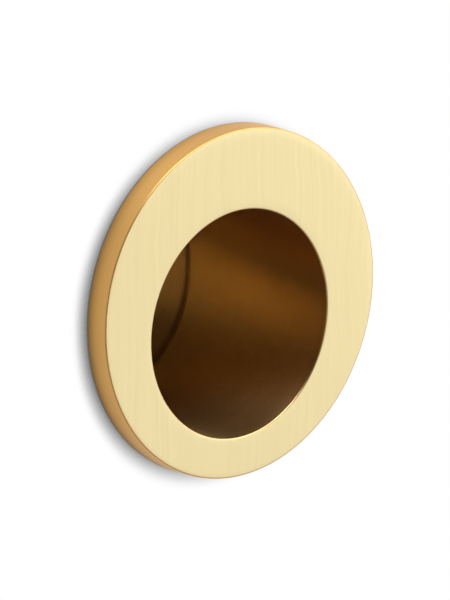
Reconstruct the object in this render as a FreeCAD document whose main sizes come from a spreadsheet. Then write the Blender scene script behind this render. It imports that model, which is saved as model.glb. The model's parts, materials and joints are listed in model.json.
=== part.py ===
import FreeCAD, Part
import os
import Sketcher

# Round flush pull for the edge of a pocket door, turned from one piece of brass.
# A thick flange covers the hole in the door, and a plain round body behind it fills the hole.
# The finger recess is bored off centre, below the body's axis, so the rim is wide at the top.
#
# Frame: millimetres, +Z up, the face towards -Y and +X to the right of someone looking at it.
# The origin is on the body's axis, in the plane of the flange's back, which seats on the door.

# Driving sizes
SIZES = (
    ("recess_diameter", 19.6, "bore of the finger recess"),
    ("recess_drop", 1.8, "how far the recess's axis lies below the body's axis"),
    ("recess_depth", 17.4, "from the face to the recess's floor"),
    ("recess_edge_round", 0.12, "round where the recess meets the face"),
    ("thin_wall", 1.4, "wall under the recess, where the body is thinnest"),
    ("floor_thickness", 1.6, "metal behind the recess's floor"),
    ("flange_lip", 2.0, "how far the flange reaches past the body"),
    ("flange_thickness", 2.4, "from the face to the flange's back"),
    ("face_edge_round", 0.12, "round on the flange's front edge"),
    ("back_edge_chamfer", 0.15, "broken edge on the flange's back"),
    ("relief_width", 0.45, "tool relief at the recess's floor, along the wall"),
    ("relief_depth", 0.25, "tool relief at the recess's floor, into the wall"),
    ("end_chamfer", 0.9, "lead-in at the body's far end"),
    ("glue_groove_start", 4.0, "from the flange's back to the first glue groove"),
    ("glue_groove_pitch", 5.0, "from one glue groove to the next"),
    ("glue_groove_width", 1.2, "width of a glue groove"),
    ("glue_groove_depth", 0.4, "depth of a glue groove"),
    ("glue_groove_count", 2, "number of glue grooves"),
)

# Sizes that follow from the driving ones
RECESS_RADIUS = "Sizes.recess_diameter / 2"
BODY_RADIUS = "(Sizes.recess_diameter / 2 + Sizes.recess_drop + Sizes.thin_wall)"
FLANGE_RADIUS = f"({BODY_RADIUS} + Sizes.flange_lip)"
BODY_LENGTH = "(Sizes.recess_depth + Sizes.floor_thickness - Sizes.flange_thickness)"

# How closely an edge has to match the circle that is looked for
SAME = 0.001

# A sketch's own numbers for its origin and axes, and for a line's two ends
ORIGIN = -1
H_AXIS = -1
V_AXIS = -2
START = 1
END = 2


def make_sheet(doc):
    """The spreadsheet that every sketch and feature takes its sizes from."""
    sheet = doc.addObject("Spreadsheet::Sheet", "Sizes")
    for row, (alias, value, meaning) in enumerate(SIZES, start=1):
        sheet.set(f"A{row}", alias)
        sheet.set(f"B{row}", str(value))
        sheet.setAlias(f"B{row}", alias)
        sheet.set(f"C{row}", meaning)
    doc.recompute()
    return sheet


def side_sketch(body, name):
    """A sketch in the upright plane through the body's axis: its x runs along +Y, its y along +Z."""
    plane = next(item for item in body.Origin.OriginFeatures if item.Role == "YZ_Plane")
    sketch = body.newObject("Sketcher::SketchObject", name)
    sketch.AttachmentSupport = [(plane, "")]
    sketch.MapMode = "FlatFace"
    return sketch


def closed_outline(sketch, corners):
    """Joins the corners by straight lines, all but the last held level or upright as its corners lie.

    The corners only say how the outline runs: the dimensions set where they end up.
    """
    ends = corners[1:] + corners[:1]
    last = len(corners) - 1
    for number, (start, end) in enumerate(zip(corners, ends)):
        line = Part.LineSegment(FreeCAD.Vector(*start, 0), FreeCAD.Vector(*end, 0))
        sketch.addGeometry(line, False)
        level = abs(start[1] - end[1]) < SAME
        if number < last:
            sketch.addConstraint(Sketcher.Constraint("Horizontal" if level else "Vertical", number))
    for number in range(len(corners)):
        following = (number + 1) % len(corners)
        sketch.addConstraint(Sketcher.Constraint("Coincident", number, END, following, START))


def on_axis(sketch, line, end, axis):
    """Holds one end of a line on the sketch's own level or upright axis."""
    sketch.addConstraint(Sketcher.Constraint("PointOnObject", line, end, axis))


def dimension(sketch, kind, first, second, name, expression):
    """A named distance from the first point to the second, tied to the sheet."""
    sketch.addConstraint(Sketcher.Constraint(kind, *first, *second, 1.0))
    number = len(sketch.Constraints) - 1
    sketch.renameConstraint(number, name)
    sketch.setExpression(f"Constraints.{name}", expression)


def full_turn(body, kind, name, sketch, axis):
    """A revolved solid or cut, once round the sketch's axis."""
    feature = body.newObject(kind, name)
    feature.Profile = sketch
    feature.ReferenceAxis = (sketch, [axis])
    feature.Angle = 360
    sketch.Visibility = False
    return feature


def circle_edges(shape, radius, y, z=0.0):
    """Names of the shape's circular edges of that radius about a point on x = 0."""
    names = []
    for number, edge in enumerate(shape.Edges, start=1):
        if not isinstance(edge.Curve, Part.Circle):
            continue
        centre = edge.Curve.Center
        off = max(abs(edge.Curve.Radius - radius), abs(centre.x), abs(centre.y - y), abs(centre.z - z))
        if off < SAME:
            names.append(f"Edge{number}")
    return names


def dressed_edge(body, kind, name, edges, size_name, expression):
    """A fillet or chamfer on the named edges of the body as it stands."""
    base = body.Tip
    feature = body.newObject(kind, name)
    feature.Base = (base, edges)
    feature.setExpression(size_name, expression)
    body.Document.recompute()
    return feature


def turned_blank(body):
    """Flange and body in one turned profile, flange's back on the upright axis."""
    sketch = side_sketch(body, "BlankOutline")
    thickness, radius, hub, length = 2.0, 15.0, 12.0, 16.0
    corners = [(-thickness, 0), (-thickness, radius), (0, radius), (0, hub), (length, hub), (length, 0)]
    closed_outline(sketch, corners)
    face, rim, back, side, end = range(5)
    on_axis(sketch, face, START, H_AXIS)
    on_axis(sketch, end, END, H_AXIS)
    on_axis(sketch, back, START, V_AXIS)
    dimension(sketch, "DistanceY", (face, START), (face, END), "flange_radius", FLANGE_RADIUS)
    dimension(sketch, "DistanceX", (rim, START), (rim, END), "flange_thickness", "Sizes.flange_thickness")
    dimension(sketch, "DistanceY", (end, END), (end, START), "body_radius", BODY_RADIUS)
    dimension(sketch, "DistanceX", (side, START), (side, END), "body_length", BODY_LENGTH)
    full_turn(body, "PartDesign::Revolution", "Blank", sketch, "H_Axis")


def finger_recess(body):
    """The off-centre bore with its flat floor and the tool relief round the floor."""
    sketch = side_sketch(body, "RecessOutline")
    mouth, axis, wall, floor, relief = -2.0, -2.0, 8.0, 14.0, 9.0
    foot = floor - 1.0
    corners = [(mouth, axis), (mouth, wall), (foot, wall), (foot, relief), (floor, relief), (floor, axis)]
    closed_outline(sketch, corners)
    opening, bore, step, groove, bottom, centre = range(6)
    turning_axis = sketch.addGeometry(
        Part.LineSegment(FreeCAD.Vector(mouth, axis, 0), FreeCAD.Vector(floor, axis, 0)), True
    )
    sketch.addConstraint(Sketcher.Constraint("Horizontal", centre))
    sketch.addConstraint(Sketcher.Constraint("Coincident", turning_axis, START, opening, START))
    sketch.addConstraint(Sketcher.Constraint("Coincident", turning_axis, END, bottom, END))
    zero = (ORIGIN, START)
    dimension(sketch, "DistanceX", (opening, START), zero, "face_ahead", "Sizes.flange_thickness")
    dimension(sketch, "DistanceY", (opening, START), zero, "drop", "Sizes.recess_drop")
    dimension(sketch, "DistanceY", (opening, START), (opening, END), "bore_radius", RECESS_RADIUS)
    dimension(sketch, "DistanceX", (opening, START), (bottom, END), "depth", "Sizes.recess_depth")
    dimension(sketch, "DistanceX", (groove, START), (groove, END), "relief_width", "Sizes.relief_width")
    dimension(sketch, "DistanceY", (step, START), (step, END), "relief_depth", "Sizes.relief_depth")
    full_turn(body, "PartDesign::Groove", "Recess", sketch, "Axis0")


def glue_grooves(body):
    """Shallow rings round the body that hold the adhesive, in an even row."""
    sketch = side_sketch(body, "GlueGrooveOutline")
    near, far, low, high = 4.0, 5.0, 12.0, 13.0
    closed_outline(sketch, [(near, low), (near, high), (far, high), (far, low)])
    first, top, second, _ = range(4)
    sketch.addConstraint(Sketcher.Constraint("Horizontal", 3))
    zero = (ORIGIN, START)
    dimension(sketch, "DistanceX", zero, (first, START), "start", "Sizes.glue_groove_start")
    dimension(sketch, "DistanceY", zero, (first, END), "body_radius", BODY_RADIUS)
    dimension(sketch, "DistanceY", (first, START), (first, END), "depth", "Sizes.glue_groove_depth")
    dimension(sketch, "DistanceX", (top, START), (top, END), "width", "Sizes.glue_groove_width")
    groove = full_turn(body, "PartDesign::Groove", "GlueGroove", sketch, "H_Axis")
    body.Document.recompute()
    row = body.newObject("PartDesign::LinearPattern", "GlueGrooves")
    row.Originals = [groove]
    row.Direction = (sketch, ["H_Axis"])
    row.Mode = "Spacing"
    row.setExpression("Offset", "Sizes.glue_groove_pitch")
    row.setExpression("Occurrences", "Sizes.glue_groove_count")
    body.Tip = row
    body.Document.recompute()


def broken_edges(body, sheet):
    """Rounds on the edges that a hand meets, and chamfers on the ones that meet the door."""
    recess_radius = sheet.recess_diameter / 2
    body_radius = recess_radius + sheet.recess_drop + sheet.thin_wall
    flange_radius = body_radius + sheet.flange_lip
    face = -sheet.flange_thickness
    far_end = sheet.recess_depth + sheet.floor_thickness - sheet.flange_thickness
    rim = circle_edges(body.Shape, flange_radius, face)
    dressed_edge(body, "PartDesign::Fillet", "FaceEdge", rim, "Radius", "Sizes.face_edge_round")
    mouth = circle_edges(body.Shape, recess_radius, face, -sheet.recess_drop)
    dressed_edge(body, "PartDesign::Fillet", "RecessEdge", mouth, "Radius", "Sizes.recess_edge_round")
    back = circle_edges(body.Shape, flange_radius, 0.0)
    dressed_edge(body, "PartDesign::Chamfer", "BackEdge", back, "Size", "Sizes.back_edge_chamfer")
    lead_in = circle_edges(body.Shape, body_radius, far_end)
    dressed_edge(body, "PartDesign::Chamfer", "LeadIn", lead_in, "Size", "Sizes.end_chamfer")


def make_pull(doc, sheet):
    """The whole pull, one solid."""
    body = doc.addObject("PartDesign::Body", "Pull")
    body.Label = "flush_pull"
    body.Placement = FreeCAD.Placement()
    turned_blank(body)
    doc.recompute()
    blank = body.Shape.Volume
    finger_recess(body)
    doc.recompute()
    if body.Shape.Volume >= blank:
        raise RuntimeError("the finger recess cut nothing")
    glue_grooves(body)
    broken_edges(body, sheet)
    return body


def check(doc, bodies):
    """Stops before anything is written if a feature failed or a shape is unsound."""
    for item in doc.Objects:
        if "Invalid" in item.State or "Error" in item.State:
            raise RuntimeError(f"{item.Name} did not build: {item.State}")
    for body in bodies:
        if body.Shape.isNull() or not body.Shape.isValid() or len(body.Shape.Solids) != 1:
            raise RuntimeError(f"{body.Label} is not one sound solid")


os.makedirs("parts", exist_ok=True)
document = FreeCAD.newDocument("pocket_door_pull")
sizes = make_sheet(document)
pieces = [make_pull(document, sizes)]
document.recompute()
check(document, pieces)
for piece in pieces:
    piece.Shape.exportStep(f"parts/{piece.Label}.step")
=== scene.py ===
import json
import math
from collections import namedtuple

import bmesh
import bpy
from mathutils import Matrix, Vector


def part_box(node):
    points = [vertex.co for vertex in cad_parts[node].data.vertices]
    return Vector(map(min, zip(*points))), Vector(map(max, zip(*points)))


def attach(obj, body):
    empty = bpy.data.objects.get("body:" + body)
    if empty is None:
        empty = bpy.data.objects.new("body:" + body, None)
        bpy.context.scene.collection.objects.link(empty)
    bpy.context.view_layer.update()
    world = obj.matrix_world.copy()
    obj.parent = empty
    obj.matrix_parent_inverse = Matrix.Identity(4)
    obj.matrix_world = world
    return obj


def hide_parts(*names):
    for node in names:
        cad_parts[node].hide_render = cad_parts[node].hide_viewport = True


# A round flush pull of brushed brass, set in a pale wall, seen from its left and a little above.
# Metres, +Z up, the face towards -Y. The flange's back lies in the wall's plane, y = 0.

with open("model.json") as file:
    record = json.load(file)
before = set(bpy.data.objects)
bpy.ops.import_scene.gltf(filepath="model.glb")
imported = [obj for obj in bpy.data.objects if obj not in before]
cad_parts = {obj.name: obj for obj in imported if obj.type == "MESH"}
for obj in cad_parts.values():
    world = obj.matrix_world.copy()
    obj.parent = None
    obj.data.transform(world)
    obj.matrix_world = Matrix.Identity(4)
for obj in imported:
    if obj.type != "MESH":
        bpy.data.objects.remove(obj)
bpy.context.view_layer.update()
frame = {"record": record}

MM = 0.001

# From the frame: overall sizes and the body's radius
node_low, node_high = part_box("flush_pull")
FLANGE_RADIUS = node_high.z
FACE_Y = node_low.y
END_Y = node_high.y
mounts = {mount["name"]: mount for mount in frame["record"]["mounts"]}
BODY_RADIUS = mounts["body"]["dims"]["r_mm"] * MM

# The pull's other sizes, as the solid has them
RECESS_RADIUS = 9.8 * MM
RECESS_DROP = 1.8 * MM
RECESS_DEPTH = 17.4 * MM
RECESS_EDGE_ROUND = 0.12 * MM
FACE_EDGE_ROUND = 0.12 * MM
BACK_EDGE_CHAMFER = 0.15 * MM
RELIEF_WIDTH = 0.45 * MM
RELIEF_DEPTH = 0.25 * MM
END_CHAMFER = 0.9 * MM
GLUE_GROOVE_STARTS = (4.0 * MM, 9.0 * MM)
GLUE_GROOVE_WIDTH = 1.2 * MM
GLUE_GROOVE_DEPTH = 0.4 * MM

# Mesh density
AROUND = 256
ROUND_STEPS = 6
FLAT_STEPS = 12
BORE_STEPS = 16
FACE_STEPS = 10
SUPPORT = 0.04 * MM
SHARP_ANGLE = math.radians(30)

# Closer than this is in the same place, and a normal nearer to the axis than this faces along it
TOUCH = 0.001 * MM
FACING = 0.9

# The pull's surfaces, in the order of its materials
FACE, EDGE, BORE, BOTTOM, BODY, END = range(6)

# Brushed face: colours are linear, patterns are features to the millimetre along x, y and z
FACE_DARK, FACE_LIGHT = (0.86, 0.72, 0.40), (0.94, 0.81, 0.47)
FACE_ROUGHNESS = (0.46, 0.54)
FACE_STRETCH = 0.3
SWAY, SWAY_WIDTH = (0.12, 0.12, 0.2), 1.2 * MM
STREAK, STREAK_DEPTH = (2.4, 0.5, 0.05), 0.0008 * MM
HAIR, HAIR_DEPTH, HAIR_SHARE = (14.0, 1.0, 0.12), 0.0012 * MM, 0.4
FACE_CLOUD, FACE_CLOUD_SHARE = (0.09, 0.09, 0.06), 0.25

# Turned and bored surfaces: a flat one has its rings across its radius, the others along the axis.
# The edge is a darker, redder copy of the face's brass, the recess a darker one and its floor
# darker still: painted shade, for the pull is one piece of one brass. These colours were fitted to
# the photograph's means together with the lamps, so they are no reading of the metal.
Finish = namedtuple(
    "Finish", "name dark light roughness stretch rings_per_mm depth axis_z flat"
)
TURNED = (
    # Edge: painted shade, a darker and redder copy of the face's brass.
    Finish("turned_edge_painted_shade", (0.60, 0.33, 0.095), (0.68, 0.39, 0.125),
           0.42, 0.4, 9.0, 0.0015 * MM, 0.0, False),
    # Recess wall and floor: painted shade, the brass darkened inside the recess and most on its
    # floor.
    Finish("bored_wall_painted_shade", (0.545, 0.372, 0.155), (0.625, 0.432, 0.195),
           0.31, 0.6, 9.0, 0.0002 * MM, -RECESS_DROP, False),
    Finish("bored_floor_painted_shade", (0.35, 0.24, 0.10), (0.415, 0.286, 0.128),
           0.33, 0.6, 7.0, 0.0006 * MM, -RECESS_DROP, True),
    Finish("turned_body", (0.72, 0.50, 0.22), (0.82, 0.60, 0.30),
           0.4, 0.6, 6.0, 0.003 * MM, 0.0, False),
    Finish("faced_end", (0.72, 0.50, 0.22), (0.82, 0.60, 0.30),
           0.4, 0.6, 6.0, 0.003 * MM, 0.0, True),
)
ROUGHNESS_SPREAD = 0.02
COARSE_RINGS, COARSE_WANDER, FINE_WANDER, FLAT_WANDER = 0.3, 0.06, 0.12, 0.01
FINE_SHARE = 0.5
RING_CLOUD, RING_CLOUD_SHARE = (0.1, 0.1, 0.1), 0.4

# Where a noise value mostly lies
NOISE_LOW, NOISE_HIGH = 0.3, 0.7

# The photograph's camera: parallel projection, scale and place in its 450 by 600 frame
PHOTO_WIDTH, PHOTO_HEIGHT = 450, 600
CAMERA_AZIMUTH, CAMERA_ELEVATION = -41.6, 14.9
FLANGE_RADIUS_PIXELS = 179.2
FACE_CENTRE_PIXEL = (239.5, 303.1)
CAMERA_DISTANCE = 0.6

# The wall that the pull is set in, just before y = 0, so that it never lies in the flange's back
WALL_COLOUR = (0.9, 0.9, 0.9)
WALL_HOLE_RADIUS = 14.6 * MM
WALL_REACH = 3.0
WALL_Y = -0.02 * MM
WALL_STEPS = 96

# Its contact shade, from the share of the sky that a place sees on the side of the light
SHADE_TILT = math.radians(40)
SHADE_CLOCK = math.radians(6)
SHADE_REACH = 2.0 * MM
SHADE_SAMPLES = 8
SHADE_DARKEST = 0.12
SHADE_SKY = (0.25, 0.8)

# The floor below it
FLOOR_COLOUR = (0.85, 0.85, 0.85)
FLOOR_DROP = 0.9
FLOOR_REACH = 1.2
FLOOR_LEVEL = 0.55

# Light, as levels where 1 is white. The room brightens from the directions along the wall to
# those whose y is BACK_FADE.
FRONT_LEVEL = 0.09
BACK_LEVEL = 0.8
BACK_FADE = 0.3
GLOSSY_BOUNCES = 12

# A panel is its name, its angle from straight ahead, its angle from the right towards the top,
# its width and height, and its level
PANEL_DISTANCE = 0.55
PANELS = (
    ("fill_panel", 8, -90, (0.5, 0.5), 0.27),
    ("left_panel", 42, 190, (0.46, 0.46), 0.5),
    ("front_panel", 50, -16, (0.46, 0.46), 1.0),
    ("right_panel", 60, 22, (0.46, 0.46), 2.5),
    ("upper_panel", 58, 60, (0.46, 0.46), 2.8),
    ("top_panel", 82, 102, (0.6, 0.24), 7.5),
)


def arc_points(y, radius, size, start, stop):
    """Points of a quarter round in the profile's plane, as (y, radius)."""
    angles = [start + (stop - start) * step / ROUND_STEPS for step in range(ROUND_STEPS + 1)]
    return [(y + size * math.cos(a), radius + size * math.sin(a)) for a in angles]


def spread(start, end, steps):
    """Points from start to end, without start."""
    return [
        tuple(a + (b - a) * step / steps for a, b in zip(start, end))
        for step in range(1, steps + 1)
    ]


def recess_profile():
    """From the middle of the recess's floor out to the round at its mouth."""
    floor = FACE_Y + RECESS_DEPTH
    foot = RECESS_RADIUS + RELIEF_DEPTH
    step = floor - RELIEF_WIDTH
    points = [(floor, 0.0)]
    points += spread(points[-1], (floor, foot - SUPPORT), FLAT_STEPS)
    points += [(floor, foot), (step, foot), (step, RECESS_RADIUS)]
    points += [(step - SUPPORT, RECESS_RADIUS)]
    points += spread(points[-1], (FACE_Y + RECESS_EDGE_ROUND, RECESS_RADIUS), BORE_STEPS)
    mouth = arc_points(
        FACE_Y + RECESS_EDGE_ROUND, RECESS_RADIUS + RECESS_EDGE_ROUND,
        RECESS_EDGE_ROUND, -math.pi / 2, -math.pi,
    )
    return points + mouth[1:]


def outer_profile():
    """From the round on the flange's front edge, round the back, to the middle of the far end."""
    points = arc_points(
        FACE_Y + FACE_EDGE_ROUND, FLANGE_RADIUS - FACE_EDGE_ROUND,
        FACE_EDGE_ROUND, math.pi, math.pi / 2,
    )
    points += [(-BACK_EDGE_CHAMFER, FLANGE_RADIUS), (0.0, FLANGE_RADIUS - BACK_EDGE_CHAMFER)]
    points += [(0.0, BODY_RADIUS)]
    for start in GLUE_GROOVE_STARTS:
        low = BODY_RADIUS - GLUE_GROOVE_DEPTH
        stop = start + GLUE_GROOVE_WIDTH
        points += [(start, BODY_RADIUS), (start, low), (stop, low), (stop, BODY_RADIUS)]
    points += [(END_Y - END_CHAMFER, BODY_RADIUS), (END_Y, BODY_RADIUS - END_CHAMFER)]
    return points + spread(points[-1], (END_Y, 0.0), FLAT_STEPS)


def pull_rings():
    """Every ring of the pull as (y, radius, height of its centre), in order along the surface."""
    rings = [(y, radius, -RECESS_DROP) for y, radius in recess_profile()]
    outer = [(y, radius, 0.0) for y, radius in outer_profile()]
    face = spread(rings[-1], outer[0], FACE_STEPS)
    return rings + face[:-1] + outer


def turns(steps):
    """Angles once round."""
    return [2 * math.pi * step / steps for step in range(steps)]


def lathe(name, rings):
    """A closed mesh through the rings. A ring of no radius is a single point."""
    mesh = bmesh.new()
    rows = []
    for y, radius, height in rings:
        if radius < TOUCH:
            rows.append([mesh.verts.new((0.0, y, height))])
            continue
        rows.append([
            mesh.verts.new((radius * math.cos(a), y, height + radius * math.sin(a)))
            for a in turns(AROUND)
        ])
    for near, far in zip(rows, rows[1:]):
        for step in range(AROUND):
            following = (step + 1) % AROUND
            if len(near) == 1:
                mesh.faces.new((near[0], far[step], far[following]))
            elif len(far) == 1:
                mesh.faces.new((near[step], far[0], near[following]))
            else:
                mesh.faces.new((near[step], far[step], far[following], near[following]))
    bmesh.ops.recalc_face_normals(mesh, faces=mesh.faces)
    data = bpy.data.meshes.new(name)
    mesh.to_mesh(data)
    mesh.free()
    data.polygons.foreach_set("use_smooth", [True] * len(data.polygons))
    data.set_sharp_from_angle(angle=SHARP_ANGLE)
    piece = bpy.data.objects.new(name, data)
    bpy.context.scene.collection.objects.link(piece)
    return piece


def new_material(name):
    """A material with its node tree and its shader."""
    material = bpy.data.materials.new(name)
    material.use_nodes = True
    tree = material.node_tree
    return material, tree, tree.nodes["Principled BSDF"]


def maths(tree, kind, operation, values):
    """A maths node of either kind, fed by sockets or by plain values."""
    made = tree.nodes.new(kind)
    made.operation = operation
    for socket, value in zip(made.inputs, values):
        if isinstance(value, bpy.types.NodeSocket):
            tree.links.new(value, socket)
        else:
            socket.default_value = value
    return made.outputs


def vector_math(tree, operation, *values):
    """A vector from vectors."""
    return maths(tree, "ShaderNodeVectorMath", operation, values)["Vector"]


def number_math(tree, operation, *values):
    """A number from numbers."""
    return maths(tree, "ShaderNodeMath", operation, values)["Value"]


def blend(tree, first, second, share):
    """Two numbers added, the second with this share of the whole."""
    return number_math(
        tree, "ADD",
        number_math(tree, "MULTIPLY", first, 1 - share),
        number_math(tree, "MULTIPLY", second, share),
    )


def object_place(tree):
    """Where a point of the surface lies in the shared frame, in metres."""
    return tree.nodes.new("ShaderNodeTexCoord").outputs["Object"]


def noise(tree, place, per_mm, detail):
    """Noise with so many features to the millimetre along x, y and z."""
    texture = tree.nodes.new("ShaderNodeTexNoise")
    texture.inputs["Scale"].default_value = 1.0
    texture.inputs["Detail"].default_value = detail
    scaled = vector_math(tree, "MULTIPLY", place, [count / MM for count in per_mm])
    tree.links.new(scaled, texture.inputs["Vector"])
    return texture.outputs["Fac"]


def remap(tree, value, low, high, from_low=NOISE_LOW, from_high=NOISE_HIGH):
    """A value brought from its own range, by itself a noise's, into the one from low to high."""
    made = tree.nodes.new("ShaderNodeMapRange")
    made.inputs["From Min"].default_value = from_low
    made.inputs["From Max"].default_value = from_high
    made.inputs["To Min"].default_value = low
    made.inputs["To Max"].default_value = high
    tree.links.new(value, made.inputs["Value"])
    return made.outputs["Result"]


def shade(tree, factor, dark, light):
    """A colour between dark and light."""
    made = tree.nodes.new("ShaderNodeMix")
    made.data_type = "RGBA"
    tree.links.new(factor, made.inputs["Factor"])
    made.inputs["A"].default_value = (*dark, 1)
    made.inputs["B"].default_value = (*light, 1)
    return made.outputs["Result"]


def bump(tree, height, depth, under=None):
    """Relief of so many metres from a height between 0 and 1, on top of another if there is one."""
    made = tree.nodes.new("ShaderNodeBump")
    made.inputs["Distance"].default_value = depth
    tree.links.new(height, made.inputs["Height"])
    if under is not None:
        tree.links.new(under, made.inputs["Normal"])
    return made.outputs["Normal"]


def finish_metal(tree, shader, colour, roughness, normal):
    """Brass with its colour, roughness and relief. Its grain's stretch is set by lie()."""
    shader.inputs["Metallic"].default_value = 1
    tree.links.new(colour, shader.inputs["Base Color"])
    tree.links.new(roughness, shader.inputs["Roughness"])
    tree.links.new(normal, shader.inputs["Normal"])


def lie(tree, shader, amount, uv_map=None):
    """Blurs reflections across the grain: straight grain along a UV map's v, or rings round +Y."""
    tangent = tree.nodes.new("ShaderNodeTangent")
    shader.inputs["Anisotropic"].default_value = amount
    if uv_map:
        tangent.direction_type = "UV_MAP"
        tangent.uv_map = uv_map
    else:
        quarter_turn = 0.25
        tangent.direction_type = "RADIAL"
        tangent.axis = "Y"
        shader.inputs["Anisotropic Rotation"].default_value = quarter_turn
    tree.links.new(tangent.outputs["Tangent"], shader.inputs["Tangent"])


def brushed_face():
    """Straight, slightly wavy grain up and down the face."""
    material, tree, shader = new_material("brushed_face")
    place = object_place(tree)
    sway = noise(tree, place, SWAY, detail=1.0)
    aside = tree.nodes.new("ShaderNodeCombineXYZ")
    tree.links.new(number_math(tree, "MULTIPLY", sway, SWAY_WIDTH), aside.inputs["X"])
    swayed = vector_math(tree, "ADD", place, aside.outputs["Vector"])
    streak = noise(tree, swayed, STREAK, detail=3.0)
    hair = noise(tree, swayed, HAIR, detail=2.0)
    cloud = noise(tree, place, FACE_CLOUD, detail=1.0)
    both = blend(tree, streak, hair, HAIR_SHARE)
    tone = blend(tree, both, cloud, FACE_CLOUD_SHARE)
    colour = shade(tree, remap(tree, tone, 0, 1), FACE_DARK, FACE_LIGHT)
    relief = bump(tree, streak, STREAK_DEPTH)
    relief = bump(tree, hair, HAIR_DEPTH, relief)
    finish_metal(tree, shader, colour, remap(tree, both, *FACE_ROUGHNESS), relief)
    lie(tree, shader, FACE_STRETCH, "grain")
    return material


def turned(finish):
    """Fine rings left by the lathe, round an axis along +Y at the finish's height."""
    material, tree, shader = new_material(finish.name)
    place = vector_math(tree, "SUBTRACT", object_place(tree), (0.0, 0.0, finish.axis_z))
    along = place
    if finish.flat:
        across = vector_math(tree, "MULTIPLY", place, (1.0, 0.0, 1.0))
        away = maths(tree, "ShaderNodeVectorMath", "LENGTH", (across,))["Value"]
        rings = tree.nodes.new("ShaderNodeCombineXYZ")
        tree.links.new(away, rings.inputs["Y"])
        slow = vector_math(tree, "MULTIPLY", place, (FLAT_WANDER, 0.0, FLAT_WANDER))
        along = vector_math(tree, "ADD", rings.outputs["Vector"], slow)
    count = finish.rings_per_mm
    coarse = noise(tree, along, (COARSE_WANDER, count * COARSE_RINGS, COARSE_WANDER), detail=2.0)
    fine = noise(tree, along, (FINE_WANDER, count, FINE_WANDER), detail=2.0)
    cloud = noise(tree, place, RING_CLOUD, detail=2.0)
    both = blend(tree, coarse, fine, FINE_SHARE)
    tone = blend(tree, both, cloud, RING_CLOUD_SHARE)
    # For the edge, the recess's wall and its floor, this colour carries painted shade.
    colour = shade(tree, remap(tree, tone, 0, 1), finish.dark, finish.light)
    smoothest, roughest = finish.roughness - ROUGHNESS_SPREAD, finish.roughness + ROUGHNESS_SPREAD
    relief = bump(tree, coarse, finish.depth)
    relief = bump(tree, fine, finish.depth, relief)
    finish_metal(tree, shader, colour, remap(tree, both, smoothest, roughest), relief)
    lie(tree, shader, finish.stretch)
    return material


def surface_of(centre, normal):
    """Which of the pull's surfaces a polygon belongs to. What looks backwards outside is its end."""
    from_axis = math.hypot(centre.x, centre.z + RECESS_DROP)
    near = from_axis < RECESS_RADIUS + 2 * RELIEF_DEPTH
    inside = near and centre.y < FACE_Y + RECESS_DEPTH + TOUCH
    if abs(centre.y - FACE_Y) < TOUCH:
        return FACE
    if inside and abs(normal.y) > FACING and centre.y > 0:
        return BOTTOM
    if inside:
        return BORE
    if centre.y < 0:
        return EDGE
    return END if normal.y > FACING else BODY


def lay_grain(pull):
    """A UV map whose v runs up the face, along the grain."""
    layer = pull.data.uv_layers.new(name="grain")
    across = 2 * FLANGE_RADIUS
    for loop in pull.data.loops:
        place = pull.data.vertices[loop.vertex_index].co
        layer.data[loop.index].uv = (0.5 + place.x / across, 0.5 + place.z / across)


def make_pull():
    """The whole pull, standing for the solid, with a finish for each of its surfaces."""
    pull = lathe("pull", pull_rings())
    for material in [brushed_face()] + [turned(finish) for finish in TURNED]:
        pull.data.materials.append(material)
    lay_grain(pull)
    for polygon in pull.data.polygons:
        polygon.material_index = surface_of(polygon.center, polygon.normal)
    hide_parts("flush_pull")
    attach(pull, "root")


def contact_shade(tree):
    """1 on the open wall, falling near the flange on the side that looks away from the light."""
    toward_light = tree.nodes.new("ShaderNodeCombineXYZ")
    toward_light.inputs["X"].default_value = math.sin(SHADE_TILT) * math.cos(SHADE_CLOCK)
    toward_light.inputs["Y"].default_value = -math.cos(SHADE_TILT)
    toward_light.inputs["Z"].default_value = math.sin(SHADE_TILT) * math.sin(SHADE_CLOCK)
    open_sky = tree.nodes.new("ShaderNodeAmbientOcclusion")
    open_sky.samples = SHADE_SAMPLES
    open_sky.inputs["Distance"].default_value = SHADE_REACH
    tree.links.new(toward_light.outputs["Vector"], open_sky.inputs["Normal"])
    return remap(tree, open_sky.outputs["AO"], SHADE_DARKEST, 1.0, *SHADE_SKY)


def mix_shaders(tree, factor, first, second):
    """The first shader where the factor is 0 and the second where it is 1."""
    mix = tree.nodes.new("ShaderNodeMixShader")
    for socket, output in zip(mix.inputs, (factor, first, second)):
        tree.links.new(output, socket)
    return mix.outputs["Shader"]


def stage_paint(name, colour, level=None):
    """Matt pale paint that looks as bright as its level, both seen straight and in the metal.

    Without a level it is the wall's: white with a contact shade, and clear from behind, so that
    the pull's body can be looked at.
    """
    material, tree, shader = new_material(name)
    tree.nodes.remove(shader)
    path = tree.nodes.new("ShaderNodeLightPath").outputs
    seen = number_math(tree, "MAXIMUM", path["Is Camera Ray"], path["Is Glossy Ray"])
    seen = number_math(tree, "MAXIMUM", seen, path["Is Transmission Ray"])
    paint = tree.nodes.new("ShaderNodeBsdfDiffuse")
    paint.inputs["Color"].default_value = (*colour, 1)
    bright = tree.nodes.new("ShaderNodeEmission")
    surface = mix_shaders(tree, seen, paint.outputs["BSDF"], bright.outputs["Emission"])
    if level is None:
        tree.links.new(contact_shade(tree), bright.inputs["Strength"])
        behind = tree.nodes.new("ShaderNodeNewGeometry").outputs["Backfacing"]
        clear = tree.nodes.new("ShaderNodeBsdfTransparent").outputs["BSDF"]
        surface = mix_shaders(tree, behind, surface, clear)
    else:
        bright.inputs["Strength"].default_value = level
    tree.links.new(surface, tree.nodes["Material Output"].inputs["Surface"])
    return material


def stage_mesh(name, points, faces, material):
    """A flat part of the stage."""
    mesh = bpy.data.meshes.new(name)
    mesh.from_pydata(points, [], faces)
    mesh.materials.append(material)
    made = bpy.data.objects.new(name, mesh)
    bpy.context.scene.collection.objects.link(made)


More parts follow.
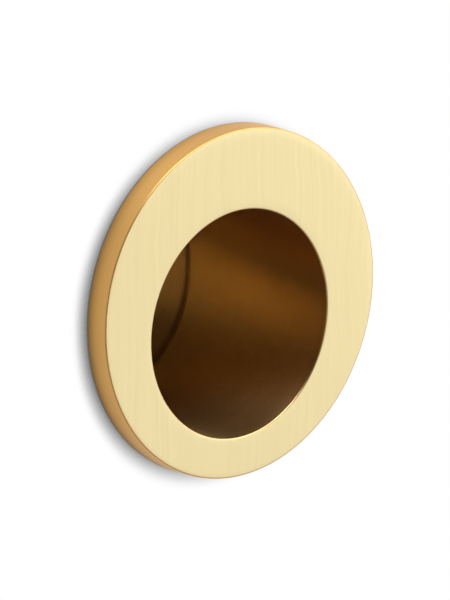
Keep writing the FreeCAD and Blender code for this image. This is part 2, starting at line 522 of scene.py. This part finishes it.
def make_stage():
    """The pale wall round the pull, looking towards -Y, and a pale floor, as under a door."""
    points = [
        (radius * math.cos(a), WALL_Y, radius * math.sin(a))
        for radius in (WALL_HOLE_RADIUS, WALL_REACH) for a in turns(WALL_STEPS)
    ]
    faces = []
    for step in range(WALL_STEPS):
        following = (step + 1) % WALL_STEPS
        faces.append((step, step + WALL_STEPS, following + WALL_STEPS, following))
    stage_mesh("wall", points, faces, stage_paint("wall_paint", WALL_COLOUR))
    corners = [(-1, -1), (1, -1), (1, 1), (-1, 1)]
    points = [(x * FLOOR_REACH, y * FLOOR_REACH, -FLOOR_DROP) for x, y in corners]
    floor_paint = stage_paint("floor_paint", FLOOR_COLOUR, FLOOR_LEVEL)
    stage_mesh("floor", points, [(0, 1, 2, 3)], floor_paint)


def panel_light(name, off_axis, clock, size, level):
    """A soft panel that faces the pull and looks as bright as its level."""
    off_axis, clock = math.radians(off_axis), math.radians(clock)
    direction = Vector((
        math.sin(off_axis) * math.cos(clock),
        -math.cos(off_axis),
        math.sin(off_axis) * math.sin(clock),
    ))
    data = bpy.data.lights.new(name, "AREA")
    data.shape = "RECTANGLE"
    data.size, data.size_y = size
    data.energy = math.pi * size[0] * size[1] * level
    lamp = bpy.data.objects.new(name, data)
    lamp.location = direction * PANEL_DISTANCE
    lamp.rotation_euler = (-direction).to_track_quat("-Z", "Y").to_euler()
    bpy.context.scene.collection.objects.link(lamp)


def make_light():
    """Soft panels in a plain room that is dimmer before the wall than behind it."""
    world = bpy.data.worlds.new("studio")
    world.use_nodes = True
    tree = world.node_tree
    looking = tree.nodes.new("ShaderNodeTexCoord").outputs["Generated"]
    parts = tree.nodes.new("ShaderNodeSeparateXYZ")
    tree.links.new(looking, parts.inputs["Vector"])
    level = remap(tree, parts.outputs["Y"], FRONT_LEVEL, BACK_LEVEL, 0.0, BACK_FADE)
    background = tree.nodes["Background"]
    background.inputs["Color"].default_value = (1, 1, 1, 1)
    tree.links.new(level, background.inputs["Strength"])
    bpy.context.scene.world = world
    for panel in PANELS:
        panel_light(*panel)


def make_camera():
    """Parallel camera that puts the face's centre on its pixel in the photograph."""
    azimuth, elevation = math.radians(CAMERA_AZIMUTH), math.radians(CAMERA_ELEVATION)
    back = Vector((
        math.sin(azimuth) * math.cos(elevation),
        -math.cos(azimuth) * math.cos(elevation),
        math.sin(elevation),
    ))
    data = bpy.data.cameras.new("camera")
    camera = bpy.data.objects.new("camera", data)
    bpy.context.scene.collection.objects.link(camera)
    data.type = "ORTHO"
    metres_per_pixel = FLANGE_RADIUS / FLANGE_RADIUS_PIXELS
    data.ortho_scale = PHOTO_HEIGHT * metres_per_pixel
    camera.rotation_euler = (-back).to_track_quat("-Z", "Y").to_euler()
    turn = camera.rotation_euler.to_matrix()
    right, up = turn @ Vector((1, 0, 0)), turn @ Vector((0, 1, 0))
    aside = (FACE_CENTRE_PIXEL[0] - PHOTO_WIDTH / 2) * metres_per_pixel
    below = (FACE_CENTRE_PIXEL[1] - PHOTO_HEIGHT / 2) * metres_per_pixel
    face_centre = Vector((0.0, FACE_Y, 0.0))
    camera.location = face_centre + back * CAMERA_DISTANCE - right * aside + up * below
    bpy.context.scene.camera = camera


make_pull()
make_stage()
make_light()
make_camera()
bpy.context.scene.view_settings.view_transform = "Standard"
bpy.context.scene.cycles.glossy_bounces = GLOSSY_BOUNCES
